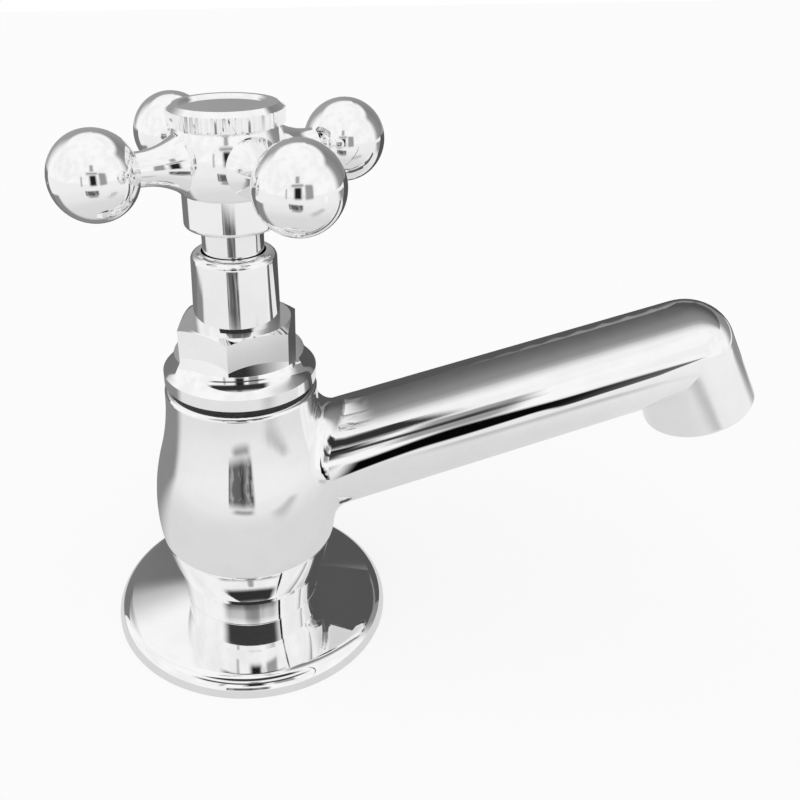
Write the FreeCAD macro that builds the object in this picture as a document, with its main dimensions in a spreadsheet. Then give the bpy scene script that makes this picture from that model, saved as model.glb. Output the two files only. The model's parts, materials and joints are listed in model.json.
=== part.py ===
"""Cross handle bath pillar tap, as an assembly of its separate pieces.

Millimetres. The origin is where the tap's axis meets the deck, +Z points up and the spout
reaches out over +X. The tap is closed, with its handle as it stands when the valve is shut.
"""
import FreeCAD, Part
import math
import os
import re
import Sketcher

# Driving dimensions: name, size and what it is. Angles are in degrees.
SIZES = [
    ("deck_grip", 8.0, "thickness of the deck that the tap is clamped to"),
    ("play", 0.05, "radial room of screwed and pressed-in pieces"),
    ("slip", 0.3, "radial room of loose pieces and of pieces that turn"),
    ("face_gap", 0.2, "room under a face that lands on another when the tap is closed"),

    ("flange_radius", 32.0, "cover flange, outer radius"),
    ("flange_height", 5.3, "cover flange, deck to the body's seat"),
    ("flange_rim", 0.5, "cover flange, upright part of its rim"),
    ("flange_shoulder", 4.0, "cover flange, height at the start of its rounded rim"),
    ("flange_round", 3.2, "cover flange, width of its rounded rim"),
    ("flange_round_arc", 3.6, "cover flange, arc radius of its rounded rim"),
    ("flange_wall", 2.0, "cover flange, width of its rim underneath"),
    ("flange_gasket_thickness", 2.2, "seal in the recess under the flange"),

    ("tail_radius", 13.22, "inlet tail, G 3/4 thread, outer radius"),
    ("tail_bore", 8.5, "inlet tail, bore radius"),
    ("tail_length", 50.0, "inlet tail below the deck"),
    ("spigot_radius", 11.0, "inlet tail, spigot screwed into the body"),
    ("spigot_length", 9.6, "inlet tail, spigot length inside the body"),
    ("joint_ring_thickness", 1.0, "fibre ring between tail and body"),
    ("deck_washer_radius", 23.0, "rubber washer under the deck, outer radius"),
    ("deck_washer_thickness", 3.0, "rubber washer under the deck"),
    ("clamp_washer_radius", 22.0, "plain washer, outer radius"),
    ("clamp_washer_thickness", 1.5, "plain washer"),
    ("nut_across_flats", 36.0, "back nut, across flats"),
    ("nut_height", 8.0, "back nut"),
    ("nut_bevel", 1.2, "back nut, bevel height of its corners"),

    ("body_height", 54.8, "body, from the flange to its top face"),
    ("foot_radius", 16.6, "body, radius at the top of its foot band"),
    ("foot_toe", 15.7, "body, radius at the bottom of its foot band"),
    ("foot_inset", 0.2, "body, inset and height of the foot's lower bevel"),
    ("foot_height", 6.9, "body, top of its foot band"),
    ("belly_start", 17.0, "body, radius where the belly starts"),
    ("belly_start_height", 8.2, "body, height where the belly starts"),
    ("belly_radius", 20.3, "body, greatest radius"),
    ("belly_height", 25.0, "body, height of its greatest radius"),
    ("shoulder_height", 39.1, "body, height where its side turns from belly to waist"),
    ("rim_radius", 16.1, "body, radius of its waist and upper rim"),
    ("rim_round", 1.0, "body, rounding of its upper rim"),
    ("spout_blend", 5.0, "body, blend radius where the spout leaves it"),

    ("spout_height", 35.2, "spout, height of its centre line on the tap's axis"),
    ("spout_rise", 14.9, "spout, angle that it rises at"),
    ("spout_root", 6.0, "spout, distance along its line where its solid starts"),
    ("spout_length", 102.1, "spout, tap's axis to the elbow's centre along its line"),
    ("spout_root_radius", 12.0, "spout, outer radius at the tap's axis"),
    ("spout_tip_radius", 10.7, "spout, outer radius at the elbow"),
    ("nozzle_turn", 80.0, "nozzle, angle that the elbow turns through"),
    ("nozzle_length", 16.8, "nozzle, elbow's centre to the mouth"),
    ("nozzle_radius", 12.2, "nozzle, outer radius at the mouth"),
    ("nozzle_edge", 0.8, "nozzle, rounding of its mouth"),
    ("waterway_radius", 7.5, "waterway through spout and nozzle"),
    ("outlet_radius", 9.6, "nozzle, radius of the recess for the straightener"),
    ("outlet_depth", 7.5, "nozzle, depth of the recess"),
    ("outlet_inset", 0.8, "straightener, how far it sits up inside the mouth"),

    ("chamber_radius", 13.0, "body, headwork thread radius"),
    ("chamber_thread", 12.5, "body, length of the headwork thread"),
    ("chamber_arc", 26.0, "body, radius of the chamber wall's profile arc"),
    ("chamber_floor", 21.7, "body, height of the partition's upper face above the flange"),
    ("chamber_floor_radius", 12.0, "body, chamber radius at the partition"),
    ("throat_radius", 7.6, "body, waterway between the tail and the valve seat"),
    ("seat_radius", 9.0, "valve seat, outer radius"),
    ("seat_bore", 6.5, "valve seat, bore radius"),
    ("seat_rim", 7.8, "valve seat, radius of its raised rim"),
    ("seat_height", 5.5, "valve seat, overall height"),
    ("seat_rim_height", 1.3, "valve seat, height of its raised rim"),

    ("bonnet_gasket_thickness", 1.0, "seal ring between body and bonnet"),
    ("bonnet_radius", 15.9, "bonnet, radius of its flange ring"),
    ("bonnet_ring", 3.5, "bonnet, height of its flange ring"),
    ("bonnet_ring_bevel", 0.5, "bonnet, bevel of its flange ring"),
    ("bonnet_step", 6.8, "bonnet, height where the hexagon starts"),
    ("bonnet_step_radius", 13.4, "bonnet, radius just under the hexagon"),
    ("bonnet_cove", 6.8, "bonnet, arc radius of the cove between ring and hexagon"),
    ("hexagon_across_flats", 22.2, "bonnet, hexagon across flats"),
    ("hexagon_height", 7.2, "bonnet, hexagon height"),
    ("hexagon_bevel", 0.9, "bonnet, bevel height of the hexagon's corners"),
    ("hexagon_top_radius", 10.9, "bonnet, radius of the flat above the bevel"),
    ("bonnet_turn", 18.0, "bonnet, angle of a hexagon corner from the spout"),
    ("neck_radius", 8.8, "bonnet, neck radius at its foot"),
    ("neck_top_radius", 8.5, "bonnet, neck radius below its rounded top"),
    ("neck_height", 14.1, "bonnet, neck from the hexagon to its top"),
    ("neck_round", 1.6, "bonnet, rounding of the neck's top"),
    ("bonnet_screw_radius", 8.3, "bonnet, radius of the spindle's thread inside it"),
    ("bonnet_screw_depth", 17.1, "bonnet, length of that thread"),
    ("screw_runout", 2.1, "bonnet and spindle, height of the cone that ends the thread"),

    ("spindle_radius", 6.05, "spindle, barrel radius"),
    ("spindle_screw_length", 24.8, "spindle, length of its threaded foot"),
    ("square_across_flats", 8.0, "spindle, square for the handle"),
    ("square_height", 8.4, "spindle, length of the square"),
    ("o_ring_radius", 5.35, "O-ring, radius of its middle line"),
    ("o_ring_section", 0.85, "O-ring, section radius"),
    ("o_ring_height", 10.4, "lower O-ring above the bonnet's seat on the body"),
    ("o_ring_pitch", 4.5, "distance between the two O-rings"),

    ("jumper_radius", 8.5, "jumper plate, radius"),
    ("jumper_plate", 2.5, "jumper plate, thickness"),
    ("jumper_stem_radius", 3.6, "jumper, stem radius"),
    ("jumper_stem_length", 14.0, "jumper, stem above its plate"),
    ("jumper_pin_radius", 2.5, "jumper, threaded pin under its plate"),
    ("jumper_washer_thickness", 3.4, "valve washer"),
    ("jumper_nut_across_flats", 8.0, "jumper nut, across flats"),
    ("jumper_nut_height", 2.6, "jumper nut"),
    ("clip_height", 9.0, "clip on the jumper's stem, above the plate"),
    ("clip_thickness", 1.2, "clip on the jumper's stem"),
    ("clip_width", 0.9, "clip, how far it stands out of the stem"),
    ("clip_groove", 0.8, "jumper, depth of the clip's groove"),
    ("clip_opening", 50.0, "clip, angle of its open side"),

    ("handle_gap", 5.1, "handle, room between neck and skirt when closed"),
    ("handle_rest_angle", 24.6, "handle, angle of the first arm from the spout"),
    ("skirt_radius", 9.2, "handle, skirt radius"),
    ("skirt_height", 6.6, "handle, skirt height"),
    ("skirt_depth", 2.7, "handle, depth of the round bore in the skirt"),
    ("skirt_round", 0.8, "handle, rounding of the skirt's foot"),
    ("hub_foot_radius", 9.9, "handle, hub radius just above the skirt"),
    ("hub_ledge", 0.6, "handle, height of the ledge between skirt and hub"),
    ("hub_arc", 13.5, "handle, radius of the hub's profile arc"),
    ("hub_height", 19.0, "handle, overall height of the hub"),
    ("hub_top_radius", 9.7, "handle, hub radius under the cap"),
    ("hub_cup_radius", 7.0, "handle, threaded cup for the cap"),
    ("hub_web", 2.0, "handle, web between square socket and cup"),
    ("arm_count", 4, "handle, arms"),
    ("arm_height", 12.8, "handle, arms' centre line above the skirt's foot"),
    ("arm_reach", 25.6, "handle, axis to the centre of a ball end"),
    ("arm_root_radius", 5.4, "handle, arm radius where it leaves the hub"),
    ("arm_root_reach", 10.0, "handle, distance where that radius is"),
    ("arm_neck_radius", 3.1, "handle, least radius of an arm"),
    ("arm_neck_reach", 17.4, "handle, distance where the arm is thinnest"),
    ("ball_radius", 8.0, "handle, ball ends"),

    ("screw_radius", 2.5, "handle screw, thread radius"),
    ("screw_length", 12.0, "handle screw, length under its head"),
    ("screw_head_radius", 4.6, "handle screw, head radius"),
    ("screw_head_height", 2.6, "handle screw, head height"),
    ("screw_key", 4.0, "handle screw, socket across flats"),
    ("screw_washer_radius", 5.6, "washer under the screw's head"),
    ("screw_washer_thickness", 0.8, "washer under the screw's head"),

    ("cap_radius", 10.5, "index cap, radius at the foot of its knurl"),
    ("cap_height", 3.5, "index cap, height above the hub"),
    ("cap_bevel", 0.9, "index cap, bevel over its knurl"),
    ("cap_rim", 1.0, "index cap, width of its raised rim"),
    ("cap_dish", 0.5, "index cap, depth of its dished top"),
    ("cap_spigot", 3.6, "index cap, depth of its threaded spigot"),
    ("cap_spigot_bore", 5.8, "index cap, bore of its spigot"),
    ("knurl_count", 60, "index cap, teeth of its knurl"),
    ("knurl_depth", 0.35, "index cap, height of a knurl tooth"),

    ("straightener_wall", 1.2, "straightener, wall of its ring"),
    ("straightener_height", 5.4, "straightener, height"),
    ("straightener_rib", 0.8, "straightener, thickness of a rib"),
    ("rib_spacing", 4.4, "straightener, distance between two ribs' middles"),
    ("outlet_gasket_thickness", 1.2, "seal above the straightener"),
]

# Where the straightener's ribs stand each way, in steps of their spacing.
RIB_STEPS = (-1, 0, 1)

NAMES = {name for name, size, meaning in SIZES}

doc = FreeCAD.newDocument("cross_handle_tap")
sheet = doc.addObject("Spreadsheet::Sheet", "Sizes")
for row, (name, size, meaning) in enumerate(SIZES, start=1):
    sheet.set(f"A{row}", meaning)
    sheet.set(f"B{row}", str(size))
    sheet.setAlias(f"B{row}", name)
doc.recompute()


# --- Helpers: formulas of the sheet's names, sketches, and turned and cut bodies ---------

def formula(text):
    """The text with each size's name written as the sheet's own cell."""
    return re.sub(r"[a-z]\w*", lambda m: f"Sizes.{m[0]}" if m[0] in NAMES else m[0], text)


def number(text):
    """The value of a formula now, as a plain number."""
    return float(sheet.evalExpression(formula(text)))


def bind(thing, path, text):
    """Ties one property of an object to a formula."""
    thing.setExpression(path, formula(text))


def new_body(label, height="0", turn=None):
    """An empty sub-part, whose local origin stands on the tap's axis at a height."""
    body = doc.addObject("PartDesign::Body", label)
    body.Label = label
    bind(body, "Placement.Base.z", height)
    if turn:
        bind(body, "Placement.Rotation.Angle", f"{turn} * 1 deg")
    return body


def new_sketch(body, name, role="XZ_Plane"):
    """A sketch on one of the body's own origin planes."""
    sketch = body.newObject("Sketcher::SketchObject", name)
    plane = next(item for item in body.Origin.OriginFeatures if item.Role == role)
    sketch.AttachmentSupport = [(plane, "")]
    sketch.MapMode = "FlatFace"
    return sketch


def pin_point(sketch, geometry, point, x, y):
    """Holds one end of a curve at a place given by two formulas."""
    for kind, axis, text in (("DistanceX", -2, x), ("DistanceY", -1, y)):
        if text == "0":
            sketch.addConstraint(Sketcher.Constraint("PointOnObject", geometry, point, axis))
            continue
        where = sketch.addConstraint(
            Sketcher.Constraint(kind, -1, 1, geometry, point, number(text)))
        bind(sketch, f"Constraints[{where}]", text)


def draw_arc(sketch, start, end, radius):
    """Draws the short arc between two corners; a positive radius bulges to the left."""
    size = abs(number(radius))
    chord = end - start
    rise = math.sqrt(size ** 2 - (chord.Length / 2) ** 2)
    left = FreeCAD.Vector(-chord.y, chord.x, 0).normalize()
    side = 1 if number(radius) > 0 else -1
    centre = (start + end) / 2 - left * rise * side
    first, last = (end, start) if side > 0 else (start, end)
    circle = Part.Circle(centre, FreeCAD.Vector(0, 0, 1), size)
    arc = Part.ArcOfCircle(circle, circle.parameter(first), circle.parameter(last))
    where = sketch.addGeometry(arc)
    limit = sketch.addConstraint(Sketcher.Constraint("Radius", where, size))
    bind(sketch, f"Constraints[{limit}]", f"abs({radius})")
    return (where, 2, 1) if side > 0 else (where, 1, 2)


def bulge(width, rise):
    """Radius of an outward arc that starts or ends upright and spans width by rise."""
    return f"-(({width}) ^ 2 + ({rise}) ^ 2) / (2 * ({width}))"


def draw_outline(sketch, corners):
    """Draws a closed outline. A corner is (x, y) or, before an arc, (x, y, radius)."""
    places = [FreeCAD.Vector(number(c[0]), number(c[1]), 0) for c in corners]
    sides = []
    for i, corner in enumerate(corners):
        start, end = places[i], places[(i + 1) % len(places)]
        if len(corner) == 3:
            sides.append(draw_arc(sketch, start, end, corner[2]))
        else:
            sides.append((sketch.addGeometry(Part.LineSegment(start, end)), 1, 2))
    for i, corner in enumerate(corners):
        geometry, first, last = sides[i]
        before, before_first, before_last = sides[i - 1]
        sketch.addConstraint(
            Sketcher.Constraint("Coincident", before, before_last, geometry, first))
        pin_point(sketch, geometry, first, corner[0], corner[1])


def draw_polygon(sketch, sides, across_flats):
    """Draws a regular polygon about the origin with one corner on the sketch's X axis."""
    corner_radius = f"{across_flats} / 2 / cos({180 / sides})"
    size = number(corner_radius)
    ring = sketch.addGeometry(Part.Circle(FreeCAD.Vector(), FreeCAD.Vector(0, 0, 1), size), True)
    sketch.addConstraint(Sketcher.Constraint("Coincident", ring, 3, -1, 1))
    limit = sketch.addConstraint(Sketcher.Constraint("Radius", ring, size))
    bind(sketch, f"Constraints[{limit}]", corner_radius)
    turns = [2 * math.pi * i / sides for i in range(sides)]
    places = [FreeCAD.Vector(size * math.cos(a), size * math.sin(a), 0) for a in turns]
    lines = [sketch.addGeometry(Part.LineSegment(places[i - 1], places[i]))
             for i in range(sides)]
    for i, line in enumerate(lines):
        after = lines[(i + 1) % sides]
        sketch.addConstraint(Sketcher.Constraint("Coincident", line, 2, after, 1))
        sketch.addConstraint(Sketcher.Constraint("PointOnObject", line, 2, ring))
        if i:
            sketch.addConstraint(Sketcher.Constraint("Equal", lines[0], line))
    sketch.addConstraint(Sketcher.Constraint("PointOnObject", lines[0], 2, -1))


def draw_circle(sketch, radius):
    """Draws a circle about the sketch's origin."""
    size = number(radius)
    ring = sketch.addGeometry(Part.Circle(FreeCAD.Vector(), FreeCAD.Vector(0, 0, 1), size))
    sketch.addConstraint(Sketcher.Constraint("Coincident", ring, 3, -1, 1))
    limit = sketch.addConstraint(Sketcher.Constraint("Radius", ring, size))
    bind(sketch, f"Constraints[{limit}]", radius)


def turn_outline(body, name, corners, cut=False, axis=None):
    """Revolves an outline about the Z axis, or about a line between two places."""
    sketch = new_sketch(body, f"{name}_outline")
    draw_outline(sketch, corners)
    reference = "V_Axis"
    if axis:
        ends = [FreeCAD.Vector(number(x), number(y), 0) for x, y in axis]
        line = sketch.addGeometry(Part.LineSegment(*ends), True)
        for point, (x, y) in enumerate(axis, start=1):
            pin_point(sketch, line, point, x, y)
        reference = "Axis0"
    feature = body.newObject("PartDesign::Groove" if cut else "PartDesign::Revolution", name)
    feature.Profile = (sketch, [""])
    feature.ReferenceAxis = (sketch, [reference])
    feature.Angle = 360
    doc.recompute()
    return feature


def extrude(body, name, draw, start, length, cut=False):
    """Pads or pockets, upward from a height, what draw puts on a level sketch."""
    sketch = new_sketch(body, f"{name}_outline", "XY_Plane")
    bind(sketch, "AttachmentOffset.Base.z", start)
    draw(sketch)
    feature = body.newObject("PartDesign::Pocket" if cut else "PartDesign::Pad", name)
    feature.Profile = (sketch, [""])
    bind(feature, "Length", length)
    feature.Reversed = cut
    doc.recompute()
    return feature


def ring_body(label, height, inner, outer, thickness):
    """A plain ring, such as a washer or a seal."""
    body = new_body(label, height)
    turn_outline(body, "ring", [
        (inner, "0"), (outer, "0"), (outer, thickness), (inner, thickness)])
    return body


def bevel_corners(body, name, flat_radius, corner_radius, top, bevel, below=False):
    """Takes the corners off a polygon's upper or lower face with a cone."""
    reach = f"({corner_radius}) + play"
    slope = f"({bevel}) * (({reach}) - ({flat_radius})) / (({corner_radius}) - ({flat_radius}))"
    foot = f"({top}) + ({slope})" if below else f"({top}) - ({slope})"
    turn_outline(body, name, [(flat_radius, top), (reach, foot), (reach, top)], cut=True)


def blend_edges(body, name, radius, chosen):
    """Rounds the edges of the body's last feature that chosen accepts."""
    doc.recompute()
    base = body.Tip
    edges = [f"Edge{i}" for i, edge in enumerate(base.Shape.Edges, start=1)
             if not edge.Degenerated and chosen(edge)]
    feature = body.newObject("PartDesign::Fillet", name)
    feature.Base = (base, edges)
    bind(feature, "Radius", radius)
    doc.recompute()
    return feature


# --- Places that several pieces share ----------------------------------------------------

BODY_SEAT = "flange_height"
BONNET_SEAT = "flange_height + body_height + bonnet_gasket_thickness"
SEAT_FLOOR = "flange_height + chamber_floor - seat_height + seat_rim_height"
WASHER_SEAT = f"{SEAT_FLOOR} + seat_height + face_gap"
JUMPER_SEAT = f"{WASHER_SEAT} + jumper_washer_thickness"
SPINDLE_FOOT = f"{JUMPER_SEAT} + jumper_plate + face_gap"
NECK_BORE = "spindle_radius + slip + play"
NECK_TOP = f"{BONNET_SEAT} + bonnet_step + hexagon_height + neck_height"
HANDLE_SEAT = f"{NECK_TOP} + handle_gap"
HUB_TOP = f"{HANDLE_SEAT} + hub_height"
HUB_FLOOR = "skirt_depth + square_height + play"
CUP_FLOOR = f"{HUB_FLOOR} + hub_web"


def along_spout(reach, side):
    """A place in the spout's upright plane: along its centre line, and above that line."""
    x = f"({reach}) * cos(spout_rise) - ({side}) * sin(spout_rise)"
    y = f"spout_height - flange_height + ({reach}) * sin(spout_rise) + ({side}) * cos(spout_rise)"
    return x, y


def along_nozzle(reach, side):
    """A place in the same plane: down the nozzle's centre line, and outward from that line."""
    elbow_x, elbow_y = along_spout("spout_length", "0")
    fall = "(nozzle_turn - spout_rise)"
    x = f"{elbow_x} + ({reach}) * cos({fall}) + ({side}) * sin({fall})"
    y = f"{elbow_y} - ({reach}) * sin({fall}) + ({side}) * cos({fall})"
    return x, y


# --- Deck fixing --------------------------------------------------------------------------

def make_base_flange():
    """Low domed cover flange, recessed underneath for its seal."""
    body = new_body("base_flange")
    turn_outline(body, "dome", [
        ("tail_radius + slip", "flange_gasket_thickness"),
        ("flange_radius - flange_wall", "flange_gasket_thickness"),
        ("flange_radius - flange_wall", "0"),
        ("flange_radius", "0"),
        ("flange_radius", "flange_rim", "-flange_round_arc"),
        ("flange_radius - flange_round", "flange_shoulder"),
        ("foot_toe", "flange_height"),
        ("tail_radius + slip", "flange_height")])


def make_fixings():
    """Seal, washers and back nut, from the flange down to below the deck."""
    ring_body("flange_gasket", "0", "tail_radius + 2 * slip",
              "flange_radius - flange_wall - slip", "flange_gasket_thickness")
    washer_foot = "-deck_grip - deck_washer_thickness"
    ring_body("deck_washer", washer_foot, "tail_radius + slip", "deck_washer_radius",
              "deck_washer_thickness")
    clamp_foot = f"{washer_foot} - clamp_washer_thickness"
    ring_body("clamp_washer", clamp_foot, "tail_radius + slip", "clamp_washer_radius",
              "clamp_washer_thickness")
    nut = new_body("back_nut", f"{clamp_foot} - nut_height")
    extrude(nut, "hexagon", lambda s: draw_polygon(s, 6, "nut_across_flats"), "0", "nut_height")
    extrude(nut, "thread", lambda s: draw_circle(s, "tail_radius + play"),
            "0", "nut_height", cut=True)
    corner = "nut_across_flats / 2 / cos(30)"
    bevel_corners(nut, "lower_bevel", "nut_across_flats / 2 - play", corner, "0",
                  "nut_bevel", below=True)


def make_tail():
    """Threaded inlet tail with its spigot, and the ring that seals it to the body."""
    shoulder = "tail_length + flange_height - joint_ring_thickness"
    top = f"{shoulder} + joint_ring_thickness + spigot_length"
    body = new_body("tail_shank", "-tail_length")
    turn_outline(body, "tube", [
        ("tail_bore", "0"), ("tail_radius", "0"), ("tail_radius", shoulder),
        ("spigot_radius", shoulder), ("spigot_radius", top), ("tail_bore", top)])
    ring_body("tail_joint_ring", "flange_height - joint_ring_thickness",
              "spigot_radius + play", "tail_radius", "joint_ring_thickness")


# --- Body with spout ----------------------------------------------------------------------

def make_tap_body():
    """Urn-shaped body and long spout, one casting with its chamber and waterways."""
    body = new_body("tap_body", BODY_SEAT)
    rim = "body_height - rim_round"
    share = f"(shoulder_height - belly_height) / ({rim} - belly_height)"
    shoulder = f"belly_radius - (belly_radius - rim_radius) * {share}"
    turn_outline(body, "urn", [
        ("0", "0"),
        ("foot_toe - foot_inset", "0"),
        ("foot_toe", "foot_inset"),
        ("foot_radius", "foot_height"),
        ("belly_start", "belly_start_height",
         bulge("belly_radius - belly_start", "belly_height - belly_start_height")),
        ("belly_radius", "belly_height",
         bulge(f"belly_radius - ({shoulder})", "shoulder_height - belly_height")),
        (shoulder, "shoulder_height",
         f"-({bulge(f'{shoulder} - rim_radius', f'{rim} - shoulder_height')})"),
        ("rim_radius", rim, "-rim_round"),
        ("rim_radius - rim_round", "body_height"),
        ("0", "body_height")])

    tip = along_spout("spout_length + spout_tip_radius", "0")
    turn_outline(body, "spout", [
        along_spout("spout_root", "0"),
        along_spout("spout_root", "spout_root_radius"),
        (*along_spout("spout_length", "spout_tip_radius"), "spout_tip_radius"),
        tip], axis=(along_spout("spout_root", "0"), tip))
    mouth = along_nozzle("nozzle_length", "0")
    turn_outline(body, "nozzle", [
        along_nozzle("0", "0"),
        along_nozzle("0", "spout_tip_radius"),
        along_nozzle("nozzle_length", "nozzle_radius"),
        mouth], axis=(along_nozzle("0", "0"), mouth))
    blend_edges(body, "spout_root_blend", "spout_blend", lambda edge: (
        not isinstance(edge.Curve, (Part.Circle, Part.Line))
        and edge.BoundBox.XMin > 0
        and edge.BoundBox.XMax < number("spout_length / 2")))
    blend_edges(body, "mouth_round", "nozzle_edge", lambda edge: (
        isinstance(edge.Curve, Part.Circle)
        and edge.BoundBox.XMin > number("spout_length / 2")
        and abs(edge.Curve.Radius - number("nozzle_radius")) < 0.01))

    spigot_top = "spigot_length + play"
    turn_outline(body, "spigot_bore", [
        ("0", "0"), ("spigot_radius + play", "0"), ("spigot_radius + play", spigot_top),
        ("throat_radius", spigot_top),
        ("throat_radius", "chamber_floor - seat_height + seat_rim_height"),
        ("seat_radius + play", "chamber_floor - seat_height + seat_rim_height"),
        ("seat_radius + play", "chamber_floor"), ("0", "chamber_floor")], cut=True)
    turn_outline(body, "chamber", [
        ("0", "chamber_floor"),
        ("chamber_floor_radius", "chamber_floor", "-chamber_arc"),
        ("chamber_radius + play", "body_height - chamber_thread"),
        ("chamber_radius + play", "body_height"),
        ("0", "body_height")], cut=True)
    start = along_spout("chamber_floor_radius", "0")
    turn_outline(body, "spout_waterway", [
        start,
        along_spout("chamber_floor_radius", "waterway_radius"),
        (*along_spout("spout_length", "waterway_radius"), "waterway_radius"),
        along_spout("spout_length + waterway_radius", "0")], cut=True, axis=(start, tip))
    turn_outline(body, "nozzle_waterway", [
        along_nozzle("0", "0"),
        along_nozzle("0", "waterway_radius"),
        along_nozzle("nozzle_length - outlet_depth", "waterway_radius"),
        along_nozzle("nozzle_length - outlet_depth", "outlet_radius"),
        along_nozzle("nozzle_length", "outlet_radius"),
        mouth], cut=True, axis=(along_nozzle("0", "0"), mouth))


def outlet_body(label):
    """An empty sub-part that stands in the nozzle's mouth, its Z axis up the nozzle."""
    body = doc.addObject("PartDesign::Body", label)
    body.Label = label
    x, z = along_nozzle("nozzle_length - outlet_inset", "0")
    bind(body, "Placement.Base.x", x)
    bind(body, "Placement.Base.z", f"{z} + flange_height")
    body.Placement.Rotation = FreeCAD.Rotation(FreeCAD.Vector(0, 1, 0), 1)
    bind(body, "Placement.Rotation.Angle", "(nozzle_turn - spout_rise - 90) * 1 deg")
    return body


def add_rib(body, middle, half, turned):
    """Adds one rib of the straightener, beside its axis, or the same rib turned square."""
    low, high = f"{middle} - straightener_rib / 2", f"{middle} + straightener_rib / 2"
    corners = [(f"-{half}", low), (half, low), (half, high), (f"-{half}", high)]
    if turned:
        corners = [(f"-({y})", x) for x, y in corners]
    extrude(body, "rib", lambda sketch: draw_outline(sketch, corners), "0", "straightener_height")


def make_outlet():
    """Flow straightener, a ring with crossed ribs, and the seal above it."""
    body = outlet_body("outlet_straightener")
    outer = "outlet_radius - play"
    turn_outline(body, "ring", [
        (f"{outer} - straightener_wall", "0"), (outer, "0"), (outer, "straightener_height"),
        (f"{outer} - straightener_wall", "straightener_height")])
    for step in RIB_STEPS:
        middle = f"rib_spacing * {step}"
        half = f"sqrt(({outer} - straightener_wall / 2) ^ 2 - ({middle}) ^ 2)"
        for turned in (False, True):
            add_rib(body, middle, half, turned)
    seal = outlet_body("outlet_gasket")
    turn_outline(seal, "ring", [
        ("waterway_radius", "straightener_height"), (outer, "straightener_height"),
        (outer, "straightener_height + outlet_gasket_thickness"),
        ("waterway_radius", "straightener_height + outlet_gasket_thickness")])


# --- Headwork -----------------------------------------------------------------------------

def make_valve_seat():
    """Seat ring in the body's partition, with a raised rim that the washer closes on."""
    body = new_body("valve_seat", SEAT_FLOOR)
    turn_outline(body, "ring", [
        ("seat_bore", "0"), ("seat_radius", "0"),
        ("seat_radius", "seat_height - seat_rim_height"),
        ("seat_rim", "seat_height"), ("seat_bore", "seat_height")])


def make_bonnet():
    """Headwork housing: thread, flange ring, spanner hexagon and round neck."""
    ring_body("bonnet_gasket", "flange_height + body_height", "chamber_radius + play",
              "rim_radius - rim_round", "bonnet_gasket_thickness")
    body = new_body("bonnet", BONNET_SEAT, "bonnet_turn")
    hexagon_top = "bonnet_step + hexagon_height"
    neck_top = f"{hexagon_top} + neck_height"
    thread_foot = "-(chamber_thread - play) - bonnet_gasket_thickness"
    turn_outline(body, "flange", [
        ("bonnet_screw_radius", thread_foot),
        ("chamber_radius", thread_foot),
        ("chamber_radius", "0"),
        ("bonnet_radius - bonnet_ring_bevel", "0"),
        ("bonnet_radius", "bonnet_ring_bevel"),
        ("bonnet_radius", "bonnet_ring - bonnet_ring_bevel"),
        ("bonnet_radius - bonnet_ring_bevel", "bonnet_ring", "bonnet_cove"),
        ("bonnet_step_radius", "bonnet_step"),
        ("bonnet_screw_radius", "bonnet_step")])
    extrude(body, "hexagon", lambda s: draw_polygon(s, 6, "hexagon_across_flats"),
            "bonnet_step", "hexagon_height")
    corner = "hexagon_across_flats / 2 / cos(30)"
    bevel_corners(body, "hexagon_bevel", "hexagon_top_radius", corner, hexagon_top,
                  "hexagon_bevel")
    turn_outline(body, "neck", [
        ("0", f"{hexagon_top} - hexagon_bevel"),
        ("neck_radius", f"{hexagon_top} - hexagon_bevel"),
        ("neck_radius", hexagon_top),
        ("neck_top_radius", f"{neck_top} - neck_round", "-neck_round"),
        ("neck_top_radius - neck_round", neck_top),
        ("0", neck_top)])
    screw_top = f"{thread_foot} + bonnet_screw_depth"
    turn_outline(body, "bore", [
        ("0", thread_foot), ("bonnet_screw_radius", thread_foot),
        ("bonnet_screw_radius", screw_top), (NECK_BORE, f"{screw_top} + screw_runout"),
        (NECK_BORE, neck_top), ("0", neck_top)], cut=True)


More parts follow.
